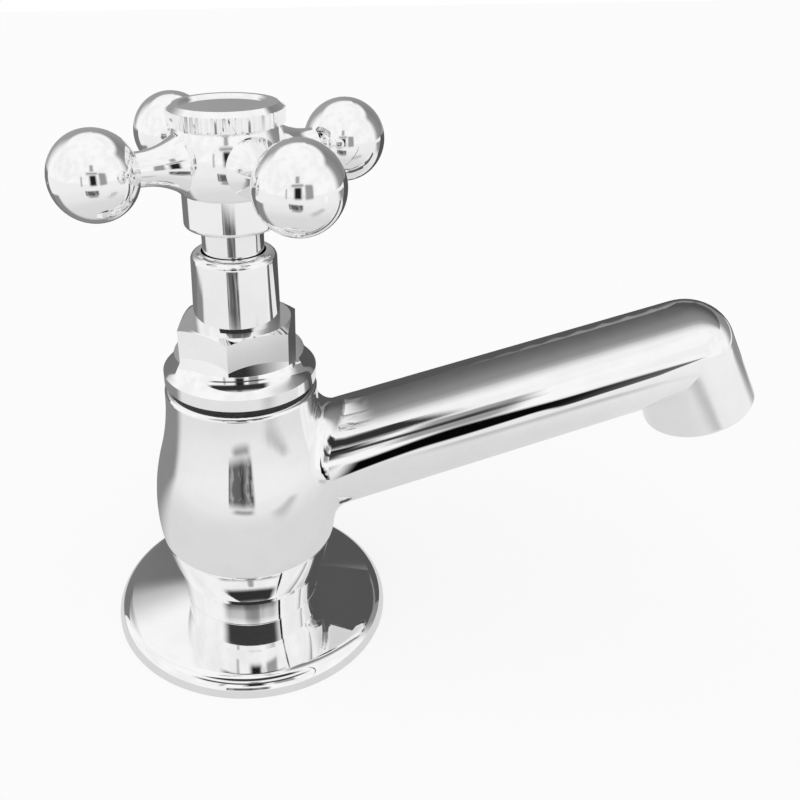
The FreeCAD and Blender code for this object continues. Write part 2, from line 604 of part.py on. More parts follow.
def make_spindle():
    """Spindle with its threaded foot, two O-ring grooves and the square for the handle."""
    body = new_body("spindle", SPINDLE_FOOT, "handle_rest_angle")
    shoulder = f"{HANDLE_SEAT} + skirt_depth - play - ({SPINDLE_FOOT})"
    first_ring = f"{BONNET_SEAT} + o_ring_height - ({SPINDLE_FOOT})"
    groove = "o_ring_radius - o_ring_section"
    steps = [("jumper_stem_radius + slip", "0"), ("bonnet_screw_radius - slip", "0"),
             ("bonnet_screw_radius - slip", "spindle_screw_length"),
             ("spindle_radius", "spindle_screw_length + screw_runout")]
    for middle in (first_ring, f"{first_ring} + o_ring_pitch"):
        steps += [("spindle_radius", f"{middle} - o_ring_section - play"),
                  (groove, f"{middle} - o_ring_section - play"),
                  (groove, f"{middle} + o_ring_section + play"),
                  ("spindle_radius", f"{middle} + o_ring_section + play")]
    stem_room = "jumper_stem_length + slip * 2"
    clip_floor = "clip_height - face_gap - slip"
    clip_room = "jumper_stem_radius + clip_width + slip"
    steps += [("spindle_radius", shoulder), ("0", shoulder),
              ("0", stem_room), ("jumper_stem_radius + slip", stem_room),
              ("jumper_stem_radius + slip", f"{clip_floor} + clip_thickness + slip * 2"),
              (clip_room, f"{clip_floor} + clip_thickness + slip * 2"),
              (clip_room, clip_floor), ("jumper_stem_radius + slip", clip_floor)]
    turn_outline(body, "barrel", steps)
    extrude(body, "square", lambda s: draw_polygon(s, 4, "square_across_flats"),
            shoulder, "square_height")
    screw_room = "screw_length - screw_washer_thickness - hub_web + slip"
    extrude(body, "screw_hole", lambda s: draw_circle(s, "screw_radius + play"),
            f"{shoulder} + square_height - ({screw_room})", screw_room, cut=True)
    rings = new_body("spindle_o_rings", f"{BONNET_SEAT} + o_ring_height")
    for name, middle in (("lower_ring", "0"), ("upper_ring", "o_ring_pitch")):
        sketch = new_sketch(rings, f"{name}_outline")
        size = number("o_ring_section")
        place = FreeCAD.Vector(number("o_ring_radius"), number(middle), 0)
        ring = sketch.addGeometry(Part.Circle(place, FreeCAD.Vector(0, 0, 1), size))
        limit = sketch.addConstraint(Sketcher.Constraint("Radius", ring, size))
        bind(sketch, f"Constraints[{limit}]", "o_ring_section")
        pin_point(sketch, ring, 3, "o_ring_radius", middle)
        feature = rings.newObject("PartDesign::Revolution", name)
        feature.Profile = (sketch, [""])
        feature.ReferenceAxis = (sketch, ["V_Axis"])
        feature.Angle = 360
        doc.recompute()


def make_jumper():
    """Valve plate with stem and pin, its washer and nut, and the clip on the stem."""
    body = new_body("jumper", JUMPER_SEAT)
    pin = "-jumper_washer_thickness - jumper_nut_height"
    clip = "jumper_plate + clip_height"
    turn_outline(body, "plate", [
        ("0", pin), ("jumper_pin_radius", pin), ("jumper_pin_radius", "0"),
        ("jumper_radius", "0"), ("jumper_radius", "jumper_plate"),
        ("jumper_stem_radius", "jumper_plate"), ("jumper_stem_radius", clip),
        ("jumper_stem_radius - clip_groove", clip),
        ("jumper_stem_radius - clip_groove", f"{clip} + clip_thickness"),
        ("jumper_stem_radius", f"{clip} + clip_thickness"),
        ("jumper_stem_radius", "jumper_plate + jumper_stem_length"),
        ("0", "jumper_plate + jumper_stem_length")])
    ring_body("jumper_washer", WASHER_SEAT, "jumper_pin_radius + play", "jumper_radius",
              "jumper_washer_thickness")
    nut = new_body("jumper_nut", f"{WASHER_SEAT} - jumper_nut_height")
    extrude(nut, "hexagon", lambda s: draw_polygon(s, 6, "jumper_nut_across_flats"),
            "0", "jumper_nut_height")
    extrude(nut, "thread", lambda s: draw_circle(s, "jumper_pin_radius + play"),
            "0", "jumper_nut_height", cut=True)
    ring = new_body("jumper_clip", f"{JUMPER_SEAT} + {clip}")
    feature = turn_outline(ring, "ring", [
        ("jumper_stem_radius - clip_groove + play", "play"),
        ("jumper_stem_radius + clip_width", "play"),
        ("jumper_stem_radius + clip_width", "clip_thickness - play"),
        ("jumper_stem_radius - clip_groove + play", "clip_thickness - play")])
    bind(feature, "Angle", "360 - clip_opening")


# --- Handle -------------------------------------------------------------------------------

def repeat_around(body, name, feature, count):
    """Repeats a feature of the body evenly about the Z axis."""
    pattern = body.newObject("PartDesign::PolarPattern", name)
    pattern.Originals = [feature]
    pattern.Axis = (feature.Profile[0], ["N_Axis" if feature.isDerivedFrom("PartDesign::Pad")
                                         else "V_Axis"])
    pattern.Angle = 360
    bind(pattern, "Occurrences", count)
    body.Tip = pattern
    doc.recompute()


def make_handle():
    """Cross handle: skirt, hub and four blended arms with ball ends."""
    body = new_body("cross_handle", HANDLE_SEAT, "handle_rest_angle")
    turn_outline(body, "hub", [
        ("0", "0"),
        ("skirt_radius - skirt_round", "0", "-skirt_round"),
        ("skirt_radius", "skirt_round"),
        ("skirt_radius", "skirt_height"),
        ("hub_foot_radius", "skirt_height + hub_ledge", "-hub_arc"),
        ("hub_top_radius", "hub_height"),
        ("0", "hub_height")])

    def arm(reach, side):
        return reach, f"arm_height + {side}"

    neck_reach = "arm_reach - sqrt(ball_radius ^ 2 - arm_neck_radius ^ 2)"
    flare = bulge("arm_root_radius - arm_neck_radius", "arm_neck_reach - arm_root_reach")
    feature = turn_outline(body, "arm", [
        arm("0", "0"),
        arm("0", "arm_root_radius"),
        (*arm("arm_root_reach", "arm_root_radius"), flare),
        arm("arm_neck_reach", "arm_neck_radius"),
        (*arm(neck_reach, "arm_neck_radius"), "ball_radius"),
        (*arm("arm_reach", "ball_radius"), "ball_radius"),
        arm("arm_reach + ball_radius", "0")],
        axis=(arm("0", "0"), arm("arm_reach + ball_radius", "0")))
    repeat_around(body, "arms", feature, "arm_count")
    extrude(body, "skirt_bore", lambda s: draw_circle(s, "spindle_radius + slip"),
            "0", "skirt_depth", cut=True)
    extrude(body, "socket", lambda s: draw_polygon(s, 4, "(square_across_flats + 2 * play)"),
            "skirt_depth", "square_height + play", cut=True)
    extrude(body, "screw_hole", lambda s: draw_circle(s, "screw_radius + slip"),
            HUB_FLOOR, "hub_web", cut=True)
    extrude(body, "cup", lambda s: draw_circle(s, "hub_cup_radius"),
            CUP_FLOOR, f"hub_height - ({CUP_FLOOR})", cut=True)


def make_handle_screw():
    """Screw down through the hub into the spindle, with its washer."""
    washer_seat = f"{HANDLE_SEAT} + {CUP_FLOOR}"
    ring_body("handle_screw_washer", washer_seat, "screw_radius + slip",
              "screw_washer_radius", "screw_washer_thickness")
    body = new_body("handle_screw", f"{washer_seat} + screw_washer_thickness")
    turn_outline(body, "shank", [
        ("0", "-screw_length"), ("screw_radius", "-screw_length"), ("screw_radius", "0"),
        ("screw_head_radius", "0"), ("screw_head_radius", "screw_head_height"),
        ("0", "screw_head_height")])
    extrude(body, "key_socket", lambda s: draw_polygon(s, 6, "screw_key"),
            "screw_head_height / 2", "screw_head_height / 2", cut=True)


def make_index_cap():
    """Knurled cap with a dished top and a spigot that screws into the hub's cup."""
    body = new_body("index_cap", HUB_TOP)
    edge = "cap_radius - cap_bevel"
    turn_outline(body, "cap", [
        ("0", "0"), ("cap_spigot_bore", "0"), ("cap_spigot_bore", "-cap_spigot"),
        ("hub_cup_radius - play", "-cap_spigot"), ("hub_cup_radius - play", "0"),
        ("cap_radius", "0"), ("cap_radius", "cap_height - cap_bevel"), (edge, "cap_height"),
        (f"{edge} - cap_rim", "cap_height"),
        (f"{edge} - cap_rim - cap_dish", "cap_height - cap_dish"),
        ("0", "cap_height - cap_dish")])

    def draw_tooth(sketch):
        half = "cap_radius * sin(180 / knurl_count)"
        root = "cap_radius - knurl_depth / 2"
        draw_outline(sketch, [
            (root, f"-{half}"), ("cap_radius + knurl_depth", "0"), (root, half)])

    tooth = extrude(body, "tooth", draw_tooth, "play", "cap_height - cap_bevel - play")
    repeat_around(body, "knurl", tooth, "knurl_count")


make_base_flange()
make_fixings()
make_tail()
make_tap_body()
make_outlet()
make_valve_seat()
make_bonnet()
make_spindle()
make_jumper()
make_handle()
make_handle_screw()
make_index_cap()
doc.recompute()


# --- Tests of the document, and the files --------------------------------------------------

failed = [item.Name for item in doc.Objects
          if "Invalid" in item.State or "Error" in item.State]
if failed:
    raise RuntimeError(f"objects that failed: {failed}")

os.makedirs("parts", exist_ok=True)
for part in [item for item in doc.Objects if item.isDerivedFrom("PartDesign::Body")]:
    if part.Shape.isNull() or not part.Shape.isValid():
        raise RuntimeError(f"no sound shape: {part.Label}")
    part.Shape.exportStep(f"parts/{part.Label}.step")
    box = part.Shape.BoundBox
    print(f"{part.Label}: volume {part.Shape.Volume:.1f}, solids {len(part.Shape.Solids)},"
          f" z {box.ZMin:.2f} to {box.ZMax:.2f}")
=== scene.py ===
import json
import math
from collections import namedtuple

import bpy
from mathutils import Matrix, Vector


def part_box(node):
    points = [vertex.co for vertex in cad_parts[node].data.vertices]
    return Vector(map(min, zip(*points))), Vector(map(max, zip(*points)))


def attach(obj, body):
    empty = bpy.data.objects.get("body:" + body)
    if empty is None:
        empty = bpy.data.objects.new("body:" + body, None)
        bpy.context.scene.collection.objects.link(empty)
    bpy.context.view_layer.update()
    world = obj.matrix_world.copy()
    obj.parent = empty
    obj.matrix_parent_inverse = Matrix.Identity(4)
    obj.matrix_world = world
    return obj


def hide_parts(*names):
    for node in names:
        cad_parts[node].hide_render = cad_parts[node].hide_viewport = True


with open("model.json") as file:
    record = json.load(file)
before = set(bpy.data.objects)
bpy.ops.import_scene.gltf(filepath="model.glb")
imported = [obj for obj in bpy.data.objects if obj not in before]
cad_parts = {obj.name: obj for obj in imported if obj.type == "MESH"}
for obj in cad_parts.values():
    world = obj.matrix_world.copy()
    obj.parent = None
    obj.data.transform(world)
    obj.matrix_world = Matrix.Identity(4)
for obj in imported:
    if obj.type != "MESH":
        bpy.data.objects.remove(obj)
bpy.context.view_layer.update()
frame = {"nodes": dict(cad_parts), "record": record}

MM = 0.001
WHITE = (1.0, 1.0, 1.0, 1.0)

# A soft-edged oblong on a flat piece: its centre, half size and soft edge, in millimetres where
# nothing else is said, its tone from 0 to 255, and how much it covers of what lies under it.
Blot = namedtuple("Blot", "centre half soft tone strength", defaults=(1.0,))


# ---------------------------------------------------------------- node helpers

def linear(tone):
    """A screen tone from 0 to 255 as linear light."""
    value = tone / 255.0
    return value / 12.92 if value <= 0.04045 else ((value + 0.055) / 1.055) ** 2.4


def grey(tone):
    """A neutral colour of that screen tone."""
    return (linear(tone),) * 3 + (1.0,)


class Nodes:
    """A short way to write a node tree: each call adds a node and sets or links its inputs."""

    def __init__(self, owner):
        owner.use_nodes = True
        self.tree = owner.node_tree
        self.tree.nodes.clear()

    def add(self, kind, settings=None, **inputs):
        """A new node with its settings, and its inputs fed by name."""
        made = self.tree.nodes.new(kind)
        for name, value in (settings or {}).items():
            setattr(made, name, value)
        for name, value in inputs.items():
            self.feed(made, name, value)
        return made

    def feed(self, made, name, value):
        """Sets or links one input, named by its label (_ for a blank) or by in0, in1."""
        if name.startswith("in") and name[2:].isdigit():
            socket = made.inputs[int(name[2:])]
        else:
            socket = made.inputs[name.replace("_", " ")]
        if isinstance(value, bpy.types.Node):
            value = value.outputs[0]
        if isinstance(value, bpy.types.NodeSocket):
            self.tree.links.new(value, socket)
        else:
            socket.default_value = value

    def maths(self, operation, first, second=0.0):
        """One sum on one or two values."""
        return self.add("ShaderNodeMath", {"operation": operation}, in0=first, in1=second)

    def smooth(self, value, start, end, low=0.0, high=1.0):
        """Goes smoothly from low to high while value goes from start to end."""
        return self.add("ShaderNodeMapRange", {"interpolation_type": "SMOOTHSTEP"},
                        Value=value, From_Min=start, From_Max=end, To_Min=low, To_Max=high)

    def product(self, *factors):
        """All the factors multiplied."""
        made = factors[0]
        for factor in factors[1:]:
            made = self.maths("MULTIPLY", made, factor)
        return made

    def length(self, first, second):
        """The distance that two values at right angles make."""
        squares = self.maths("ADD", self.product(first, first), self.product(second, second))
        return self.maths("SQRT", squares)

    def between(self, value, low, high, soft):
        """1 between two values and 0 outside, with soft edges."""
        return self.product(self.smooth(value, low - soft, low + soft),
                            self.smooth(value, high - soft, high + soft, 1.0, 0.0))

    def mix(self, factor, first, second):
        """The first colour at factor 0 and the second at factor 1."""
        made = self.add("ShaderNodeMix", {"data_type": "RGBA"})
        self.feed(made, "in0", factor)
        self.feed(made, "in6", first)
        self.feed(made, "in7", second)
        return made.outputs[2]

    def ramp(self, value, stops, interpolation="EASE"):
        """A colour ramp through (position, colour) stops."""
        made = self.add("ShaderNodeValToRGB", Fac=value)
        made.color_ramp.interpolation = interpolation
        elements = made.color_ramp.elements
        while len(elements) < len(stops):
            elements.new(0.5)
        for element, (position, colour) in zip(elements, stops):
            element.position = position
            element.color = colour
        return made.outputs["Color"]

    def tones(self, value, stops):
        """Grey tones along a value: stops are (value, tone), in rising order."""
        start, end = stops[0][0], stops[-1][0]
        share = self.add("ShaderNodeMapRange", Value=value, From_Min=start, From_Max=end)
        return self.ramp(share, [((at - start) / (end - start), grey(tone)) for at, tone in stops],
                         "LINEAR")


def spot(nodes, x, y, blot):
    """1 on a blot and 0 outside it."""
    return nodes.product(*(
        nodes.between(value, centre - half, centre + half, blot.soft)
        for value, centre, half in zip((x, y), blot.centre, blot.half)))


def millimetres(nodes):
    """The place that is shaded, in millimetres, as three values."""
    place = nodes.add("ShaderNodeNewGeometry").outputs["Position"]
    split = nodes.add("ShaderNodeSeparateXYZ", Vector=place)
    return [nodes.maths("DIVIDE", split.outputs[i], MM) for i in range(3)]


# ---------------------------------------------------------------- camera

# Fitted to the outlines of the balls, the flange and the spout in the photograph: its place in
# metres, its lens and sensor in millimetres, and its turn, tilt and roll in degrees.
CAMERA_PLACE = (-0.00334, -0.15966, 0.14515)
CAMERA_LENS = 38.23
CAMERA_SENSOR = 36.0
CAMERA_SHIFT = 0.1
CAMERA_NEAREST = 0.005
CAMERA_TURN = (7.21, 29.51, -0.30)


def add_camera():
    """The photograph's camera, close by and looking down on the tap."""
    data = bpy.data.cameras.new("camera")
    camera = bpy.data.objects.new("camera", data)
    bpy.context.scene.collection.objects.link(camera)
    data.sensor_width = CAMERA_SENSOR
    data.sensor_fit = "HORIZONTAL"
    data.lens = CAMERA_LENS
    data.shift_x = CAMERA_SHIFT
    data.clip_start = CAMERA_NEAREST
    pan, tilt, roll = (math.radians(angle) for angle in CAMERA_TURN)
    forward = Vector((math.sin(pan) * math.cos(tilt), math.cos(pan) * math.cos(tilt),
                      -math.sin(tilt)))
    right = Vector((math.cos(pan), -math.sin(pan), 0.0))
    up = right.cross(forward)
    right, up = (right * math.cos(roll) + up * math.sin(roll),
                 up * math.cos(roll) - right * math.sin(roll))
    turn = Matrix((right, up, -forward)).transposed().to_4x4()
    camera.matrix_world = Matrix.Translation(CAMERA_PLACE) @ turn
    bpy.context.scene.camera = camera


# ---------------------------------------------------------------- tent

# The tent's cloth has soft folds between two tones. The grey room shows behind the tap, between
# soft edges on its right and left and under a soft upper one. Its edges and tones go by azimuth
# in degrees, 0 on the camera's side and positive towards the spout, and the top by elevation.
FOLD_SCALE = 3.5
FOLDS = [(0.35, grey(246)), (0.6, grey(254))]
ROOM_RIGHT = (82.0, 106.0)
ROOM_LEFT = (-150.0, -118.0)
ROOM_TOP = (36.0, 47.0)
ROOM_TONES = [(-180.0, 160), (80.0, 160), (130.0, 132), (180.0, 158)]


def add_world():
    """A white photographic tent, with the grey room behind the tap under its upper edge."""
    world = bpy.data.worlds.new("studio")
    bpy.context.scene.world = world
    nodes = Nodes(world)
    direction = nodes.add("ShaderNodeTexCoord").outputs["Generated"]
    split = nodes.add("ShaderNodeSeparateXYZ", Vector=direction)
    nearer = nodes.maths("MULTIPLY", split.outputs["Y"], -1.0)
    azimuth = nodes.maths("DEGREES", nodes.maths("ARCTAN2", split.outputs["X"], nearer))
    elevation = nodes.maths("DEGREES", nodes.maths("ARCSINE", split.outputs["Z"]))
    folds = nodes.add("ShaderNodeTexNoise", Vector=direction, Scale=FOLD_SCALE, Detail=3.0)
    tent = nodes.ramp(folds, FOLDS)
    behind = nodes.maths("MAXIMUM", nodes.smooth(azimuth, *ROOM_RIGHT),
                         nodes.smooth(azimuth, *ROOM_LEFT, 1.0, 0.0))
    low = nodes.smooth(elevation, *ROOM_TOP, 1.0, 0.0)
    tone = nodes.mix(nodes.product(behind, low), tent, nodes.tones(azimuth, ROOM_TONES))
    seen = nodes.add("ShaderNodeLightPath").outputs["Is Camera Ray"]
    light = nodes.add("ShaderNodeBackground", Color=nodes.mix(seen, tone, WHITE), Strength=1.0)
    nodes.add("ShaderNodeOutputWorld", Surface=light)


# ---------------------------------------------------------------- floor

# Half the floor's width in metres.
FLOOR_REACH = 1.6
# The share of the floor's look that is lit, and so takes the tap's shadow: as the camera sees
# it, and as polished faces see it. The rest glows by itself. Other light meets a lit grey floor.
LIT_SEEN = 0.22
LIT_MIRRORED = 0.2
LIT_TONE = 215
# Painted shade in polished faces: the floor's mirrored tone, darker near the tap and lighter far
# off, by distance from the tap's axis in millimetres.
FLOOR_MIRRORED_SHADE = [(0.0, 224), (95.0, 228), (155.0, 244), (300.0, 252), (1600.0, 255)]
# Painted shade and painted reflections of dark things, where the floor looks darker in polished
# faces: behind the tap on both sides, and in front.
FLOOR_MIRRORED_DARK_BLOTS = [
    Blot((-120.0, 86.0), (112.0, 60.0), 18.0, 118),
    Blot((470.0, 200.0), (210.0, 140.0), 60.0, 130),
    Blot((-20.0, -168.0), (32.0, 14.0), 13.0, 150),
    Blot((105.0, -112.0), (45.0, 20.0), 20.0, 196),
]


def add_plane(name, corners):
    """A flat four-cornered stage piece."""
    mesh = bpy.data.meshes.new(name)
    mesh.from_pydata(corners, [], [(0, 1, 2, 3)])
    piece = bpy.data.objects.new(name, mesh)
    bpy.context.scene.collection.objects.link(piece)
    return piece


def add_floor():
    """The plain white floor. It keeps the tap's shadow, and polished faces see it with painted
    shade and painted reflections of dark things.
    """
    reach = FLOOR_REACH
    floor = add_plane("floor", [(-reach, -reach, 0), (reach, -reach, 0), (reach, reach, 0),
                                (-reach, reach, 0)])
    material = bpy.data.materials.new("floor_white")
    nodes = Nodes(material)
    paper = nodes.add("ShaderNodeEmission", Color=WHITE, Strength=1.0)
    white = nodes.add("ShaderNodeBsdfDiffuse", Color=WHITE)
    seen = nodes.add("ShaderNodeMixShader", in0=LIT_SEEN, in1=paper, in2=white)
    x, y = millimetres(nodes)[:2]
    # Painted shade: the mirrored floor is darker near the tap.
    tone = nodes.tones(nodes.length(x, y), FLOOR_MIRRORED_SHADE)
    for blot in FLOOR_MIRRORED_DARK_BLOTS:
        # Painted shade and painted reflections: darker blots on the mirrored floor.
        tone = nodes.mix(spot(nodes, x, y, blot), tone, grey(blot.tone))
    toned = nodes.add("ShaderNodeEmission", Color=tone, Strength=1.0)
    plain = nodes.add("ShaderNodeBsdfDiffuse", Color=grey(LIT_TONE))
    mirrored = nodes.add("ShaderNodeMixShader", in0=LIT_MIRRORED, in1=toned, in2=plain)
    ray = nodes.add("ShaderNodeLightPath")
    mixed = nodes.add("ShaderNodeMixShader", in0=ray.outputs["Is Glossy Ray"], in1=plain,
                      in2=mirrored)
    mixed = nodes.add("ShaderNodeMixShader", in0=ray.outputs["Is Camera Ray"], in1=mixed, in2=seen)
    nodes.add("ShaderNodeOutputMaterial", Surface=mixed)
    floor.data.materials.append(material)


# ---------------------------------------------------------------- glowing boards that paint the chrome's reflections

# The grey board over the spout, a painted reflection, by y: its tones, its soft near edge and its
# soft left edge.
CEILING_TONES = [
    (-30.0, 250), (-24.0, 238), (-17.0, 208), (-13.0, 172), (-6.0, 143), (0.0, 136),
    (8.0, 125), (22.0, 104), (35.0, 90), (45.0, 84), (118.0, 84)]
CEILING_NEAR = (-31.0, -27.0)
CEILING_LEFT = (13.0, 22.0)

# The grey wall behind the tap, a painted reflection, by x, and its soft upper edge.
WALL_TONES = [(-200.0, 122), (-60.0, 120), (30.0, 86), (250.0, 84)]
WALL_TOP = (90.0, 108.0)

# The painted reflection of the camera and whoever holds it, in front of the tap: x and z.
OPERATOR = [
    Blot((56.0, 124.0), (25.0, 42.0), 9.0, 142, 0.9),
    Blot((-14.0, 163.0), (38.0, 8.0), 11.0, 105, 0.85),
    Blot((-13.0, 205.0), (13.0, 28.0), 8.0, 135, 0.8),
    Blot((-87.0, 112.0), (6.0, 32.0), 6.0, 165, 0.8),
    Blot((-10.0, 118.0), (22.0, 34.0), 11.0, 34),
    Blot((18.0, 102.0), (7.0, 7.0), 4.0, 235, 0.9),
]

# The dark rims over the flange's front, painted reflections: degrees round the axis, and distance
# from it.
HOOD_RIMS = [
    Blot((-6.0, 116.0), (42.0, 14.0), 8.0, 60),
    Blot((-6.0, 58.0), (44.0, 15.0), 7.0, 50),
]

# The mottled dark thing low in front, a painted reflection: its tones by x, its sides, soft foot
# and soft top.
FRONT_TONES = [
    (-95.0, 178), (-72.0, 118), (-48.0, 104), (-30.0, 100), (-19.0, 60), (-4.0, 132),
    (4.0, 106), (9.0, 26), (17.0, 24)]
FRONT_SIDES = (-82.0, 17.0)
FRONT_SOFT = 7.0
FRONT_FOOT = (1.0, 20.0)
FRONT_TOP = (44.0, 58.0)
FLECK_SCALE = 70.0
FLECK_TONE = 200
FLECK_RANGE = (0.52, 0.66)
FLECK_SHARE = 0.5

# The black edge beside the spout, a painted reflection, by x: its tones and its ends.
EDGE_TONES = [(20.0, 5), (92.0, 8), (112.0, 24), (147.0, 68), (184.0, 92), (230.0, 110)]
EDGE_ENDS = (22.0, 222.0)
EDGE_SOFT = 3.0
# Its middle height rises and then sinks a little, and its half height swells and then spreads.
# Each goes from one x to another, and from one height to another. It fades between two shares
# of the half height.
EDGE_RISE = (20.0, 52.0, 37.5, 47.5)
EDGE_SINK = (95.0, 140.0, 0.0, 9.0)
EDGE_SWELL = (22.0, 70.0, 7.0, 16.0)
EDGE_SPREAD = (95.0, 140.0, 0.0, 16.0)
EDGE_FADE = (0.7, 1.2)
# Its board: a point at the spout's root, how it turns and leans, and its reach from that point.
EDGE_ROOT = (22.0, -30.0, 38.0)
EDGE_TURN = math.radians(38.0)
EDGE_LEAN = math.radians(14.0)
EDGE_ALONG = (-4.0, 340.0)
EDGE_UPWARD = (-34.0, 50.0)


def add_card(name, corners, build):
    """A board that only polished faces see, on the side where its corners run anticlockwise. It
    glows with a painted tone and is hidden from the camera, from diffuse light and from shadows, so
    it only paints a reflection.
    """
    card = add_plane(name, [tuple(value * MM for value in corner) for corner in corners])
    for way in ("camera", "diffuse", "shadow", "transmission", "volume_scatter"):
        setattr(card, "visible_" + way, False)
    material = bpy.data.materials.new(name)
    nodes = Nodes(material)
    cover, tone = build(nodes, *millimetres(nodes))
    back = nodes.add("ShaderNodeNewGeometry").outputs["Backfacing"]
    cover = nodes.product(cover, nodes.maths("SUBTRACT", 1.0, back))
    clear = nodes.add("ShaderNodeBsdfTransparent")
    # The board glows though it is no lamp: a painted reflection for polished faces.
    board = nodes.add("ShaderNodeEmission", Color=tone, Strength=1.0)
    mixed = nodes.add("ShaderNodeMixShader", in0=cover, in1=clear, in2=board)
    nodes.add("ShaderNodeOutputMaterial", Surface=mixed)
    card.data.materials.append(material)


def paint_over(nodes, x, y, blots):
    """The cover and tone of a board that bears several blots, the later ones on top."""
    cover, tone = None, None
    for blot in blots:
        here = nodes.product(spot(nodes, x, y, blot), blot.strength)
        if cover is None:
            cover, tone = here, grey(blot.tone)
        else:
            cover = nodes.maths("MAXIMUM", cover, here)
            tone = nodes.mix(here, tone, grey(blot.tone))
    return cover, tone


def overhead(nodes, x, y, z):
    """Grey board over the spout, a painted reflection darker towards the back, with soft near and
    left edges.
    """
    cover = nodes.product(nodes.smooth(y, *CEILING_NEAR), nodes.smooth(x, *CEILING_LEFT))
    return cover, nodes.tones(y, CEILING_TONES)


def back_wall(nodes, x, y, z):
    """Grey wall behind the tap, a painted reflection lighter on the left, with a soft upper edge.
    """
    return nodes.smooth(z, *WALL_TOP, 1.0, 0.0), nodes.tones(x, WALL_TONES)


def operator(nodes, x, y, z):
    """The dark shapes of the camera and whoever holds it, as painted reflections."""
    return paint_over(nodes, x, z, OPERATOR)


def hood(nodes, x, y, z):
    """Dark rims over the flange's front, seen only from below: painted reflections."""
    around = nodes.maths("DEGREES", nodes.maths("ARCTAN2", x, nodes.maths("MULTIPLY", y, -1.0)))
    return paint_over(nodes, around, nodes.length(x, y), HOOD_RIMS)


def low_front(nodes, x, y, z):
    """The mottled dark thing that stands low in front of the tap, as a painted reflection."""
    place = nodes.add("ShaderNodeNewGeometry").outputs["Position"]
    flecks = nodes.add("ShaderNodeTexNoise", Vector=place, Scale=FLECK_SCALE, Detail=3.0)
    lighter = nodes.smooth(flecks, *FLECK_RANGE, 0.0, FLECK_SHARE)
    tone = nodes.mix(lighter, nodes.tones(x, FRONT_TONES), grey(FLECK_TONE))
    high = nodes.product(nodes.smooth(z, *FRONT_FOOT), nodes.smooth(z, *FRONT_TOP, 1.0, 0.0))
    return nodes.product(nodes.between(x, *FRONT_SIDES, FRONT_SOFT), high), tone


def black_edge(nodes, x, y, z):
    """The black edge beside the spout, which the spout's side mirrors as its dark line: a painted
    reflection.
    """
    middle = nodes.maths("SUBTRACT", nodes.smooth(x, *EDGE_RISE), nodes.smooth(x, *EDGE_SINK))
    half = nodes.maths("ADD", nodes.smooth(x, *EDGE_SWELL), nodes.smooth(x, *EDGE_SPREAD))
    offset = nodes.maths("ABSOLUTE", nodes.maths("SUBTRACT", z, middle))
    band = nodes.smooth(nodes.maths("DIVIDE", offset, half), *EDGE_FADE, 1.0, 0.0)
    cover = nodes.product(band, nodes.between(x, *EDGE_ENDS, EDGE_SOFT))
    return cover, nodes.tones(x, EDGE_TONES)


def ceiling(left, right, near, far, low, rise):
    """The corners of a board seen from below, whose height is low at x = 0 and rises with x."""
    return [(left, near, low + rise * left), (left, far, low + rise * left),
            (right, far, low + rise * right), (right, near, low + rise * right)]


def upright(y, start, end, foot, top):
    """The corners of an upright board, with x at its left and right ends as the tap sees it."""
    return [(start, y, foot), (end, y, foot), (end, y, top), (start, y, top)]


def leaning():
    """The corners of the black edge's board, which runs forward and outward from the spout's
    root and leans over a little, so that the handle and the urn's upper part are behind it."""
    root = Vector(EDGE_ROOT)
    along = Vector((math.sin(EDGE_TURN), -math.cos(EDGE_TURN), 0.0))
    facing = Vector((math.cos(EDGE_TURN) * math.cos(EDGE_LEAN),
                     math.sin(EDGE_TURN) * math.cos(EDGE_LEAN), -math.sin(EDGE_LEAN)))
    upward = along.cross(facing)
    (start, end), (foot, top) = EDGE_ALONG, EDGE_UPWARD
    return [root + along * a + upward * b
            for a, b in ((start, foot), (start, top), (end, top), (end, foot))]


def add_boards():
    """The boards about the tap, each where its mirrored shape in the photograph puts it."""
    add_card("overhead_board",
             ceiling(left=12.0, right=260.0, near=-31.0, far=118.0, low=80.0, rise=0.266), overhead)
    add_card("back_board",
             upright(y=118.0, start=-200.0, end=250.0, foot=0.0, top=110.0), back_wall)
    add_card("operator_board",
             upright(y=-165.0, start=90.0, end=-110.0, foot=70.0, top=245.0), operator)
    add_card("hood_board",
             ceiling(left=-130.0, right=80.0, near=-150.0, far=-40.0, low=95.0, rise=0.0), hood)
    add_card("low_front_board",
             upright(y=-164.0, start=30.0, end=-70.0, foot=0.0, top=66.0), low_front)
    add_card("black_edge_board", leaning(), black_edge)


# ---------------------------------------------------------------- materials

# Where nearly all of a noise's values lie.
NOISE_LOW = 0.3
NOISE_HIGH = 0.7


class Surface(Nodes):
    """A material's tree with the object's own coordinates to hand."""

    def __init__(self, name):
        self.material = bpy.data.materials.new(name)
        super().__init__(self.material)
        self.place = self.add("ShaderNodeTexCoord").outputs["Object"]

    def noise(self, scale, detail=3.0, roughness=0.6, stretch=None):
        """Cloudy noise; stretch scales it along each axis."""
        vector = self.place
        if stretch:
            vector = self.add("ShaderNodeMapping", Vector=vector, Scale=stretch)
        made = self.add("ShaderNodeTexNoise", Vector=vector, Scale=scale, Detail=detail,
                        Roughness=roughness)
        return made.outputs["Fac"]

    def bump(self, height, strength, depth, under=None):
        """A bump of some depth in millimetres, over another one."""
        made = self.add("ShaderNodeBump", Height=height, Strength=strength, Distance=depth * MM)
        if under:
            self.feed(made, "Normal", under)
        return made

    def spread(self, value, low, high):
        """A noise value as a number between low and high."""
        return self.add("ShaderNodeMapRange", Value=value, From_Min=NOISE_LOW,
                        From_Max=NOISE_HIGH, To_Min=low, To_Max=high).outputs["Result"]

    def finish(self, **inputs):
        """The material, with its shader's inputs fed by name."""
        shader = self.add("ShaderNodeBsdfPrincipled", **inputs)
        self.add("ShaderNodeOutputMaterial", Surface=shader)
        return self.material


def solid(red, green, blue):
    """An opaque colour."""
    return (red, green, blue, 1.0)


